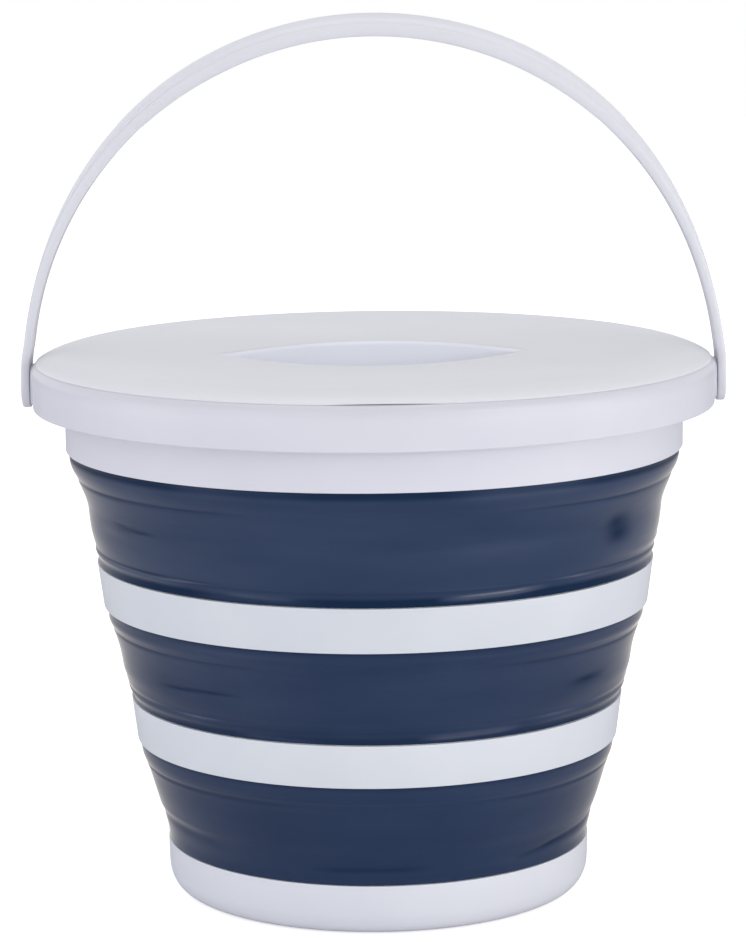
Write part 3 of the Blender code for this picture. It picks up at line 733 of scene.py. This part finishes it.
# Pivot studs: the bail's moulded pins, whose round heads snap through the holes and stay behind the skirt.
# Each is turned from one outline, from the head out to the strap, and laid along the X axis.
stud_outline = [
    (0, 154.3, 0), (3.6, 154.3, 0.8), (5.2, 155.6, 0.6), (5.2, 156.8, 0.4), (4.0, 156.8, 0.3), (4.0, 162.6, 0),
    (0, 162.6, 0)]
for side, word in ((-1, "left"), (1, "right")):
    stud = turned("bail_stud_" + word, rounded(stud_outline), steps=64)
    stud.data.transform(Matrix.Translation((0, 0, pivot_height)) @ Matrix.Rotation(side * math.tau / 4, 4, "Y"))
    stud.data.materials.append(bail_shell)
    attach(stud, "bail")

# Studio: a white floor that keeps the bucket's soft shadow, a soft surround that the camera sees as
# plain white, and large soft lamps: a faintly warm key at the right, a cooler fill at the left.
bm = bmesh.new()
bmesh.ops.create_grid(bm, x_segments=8, y_segments=8, size=6.0)
floor = as_piece(bm, "studio_floor")
ground = bpy.data.materials.new("studio floor")
ground.use_nodes = True
tree = ground.node_tree
shader = tree.nodes["Principled BSDF"]
ray = tree.nodes.new("ShaderNodeLightPath").outputs
# The floor is duller in reflections, because the photo's glossy bands and shell show no bright floor.
paper = wired(tree, "ShaderNodeMix", "Result", {
    "Factor": ray["Is Glossy Ray"], "A": (0.86, 0.86, 0.87, 1), "B": (0.30, 0.30, 0.32, 1)}, data_type="RGBA")
feed(tree, shader, {"Roughness": 0.9, "Specular IOR Level": 0.0, "Base Color": paper})
glow = wired(tree, "ShaderNodeEmission", "Emission", {
    "Strength": ray["Is Camera Ray"], "Color": (0.6, 0.6, 0.6, 1)})
both = wired(tree, "ShaderNodeAddShader", "Shader", {0: shader.outputs["BSDF"], 1: glow})
feed(tree, tree.nodes["Material Output"], {"Surface": both})
floor.data.materials.append(ground)

world = bpy.data.worlds.new("studio")
bpy.context.scene.world = world
world.use_nodes = True
tree = world.node_tree
sky = tree.nodes["Background"]
# The surround gives a touch more light from the left and from below.
aim = wired(tree, "ShaderNodeTexCoord", "Generated")
slope = wired(
    tree, "ShaderNodeVectorMath", "Value", {0: aim, 1: (-0.17, 0.08, -0.18)}, operation="DOT_PRODUCT")
level = wired(tree, "ShaderNodeMath", "Value", {0: slope, 1: 0.82}, operation="ADD")
feed(tree, sky, {"Color": (0.97, 0.98, 1.0, 1), "Strength": level})
white = wired(tree, "ShaderNodeBackground", "Background", {"Color": (1, 1, 1, 1)})
ray = tree.nodes.new("ShaderNodeLightPath").outputs
pick = wired(tree, "ShaderNodeMixShader", "Shader", {
    "Fac": ray["Is Camera Ray"], 1: sky.outputs["Background"], 2: white})
feed(tree, tree.nodes["World Output"], {"Surface": pick})

for name, spot, target, size, power, tint in (
    ("key", (2.2, -2.2, 0.5), (0, 0, 0.15), (1.8, 1.2), 31.0, (1.0, 1.0, 0.975)),
    ("fill", (-2.1, -2.3, 0.25), (0, 0, 0.1), (1.8, 1.0), 14.0, (0.93, 0.985, 1.0)),
    ("top", (0.0, 0.1, 2.6), (0, 0, 0.2), (2.4, 2.4), 17.0, (1.0, 1.0, 1.0)),
    ("left", (-2.6, -0.6, 0.05), (0, 0, 0.05), (1.2, 0.5), 11.0, (0.97, 0.98, 1.0)),
    ("right", (2.6, -0.6, 0.3), (0, 0, 0.12), (1.2, 0.6), 8.0, (1.0, 1.0, 0.96)),
):
    lamp = bpy.data.lights.new(name, "AREA")
    lamp.color = tint
    lamp.shape = "RECTANGLE"
    lamp.size, lamp.size_y = size
    lamp.energy = power
    holder = bpy.data.objects.new(name, lamp)
    holder.location = spot
    holder.rotation_euler = (Vector(target) - Vector(spot)).to_track_quat("-Z", "Y").to_euler()
    bpy.context.scene.collection.objects.link(holder)

# Camera: a long lens on a stand in front of the bucket and well above its rim, tipped down by nine degrees
# and rolled by half a degree, as the photo was taken.
tip, roll = math.radians(9.3676), math.radians(0.6016)
eye = bpy.data.cameras.new("camera")
eye.sensor_width = 36.0
eye.lens = 129.11
viewer = bpy.data.objects.new("camera", eye)
bpy.context.scene.collection.objects.link(viewer)
viewer.matrix_world = (
    Matrix.Translation((-0.00075, -1.58505, 0.45788))
    @ Matrix.Rotation(math.tau / 4 - tip, 4, "X")
    @ Matrix.Rotation(-roll, 4, "Z")
)
bpy.context.scene.camera = viewer
bpy.context.scene.view_settings.view_transform = "Standard"
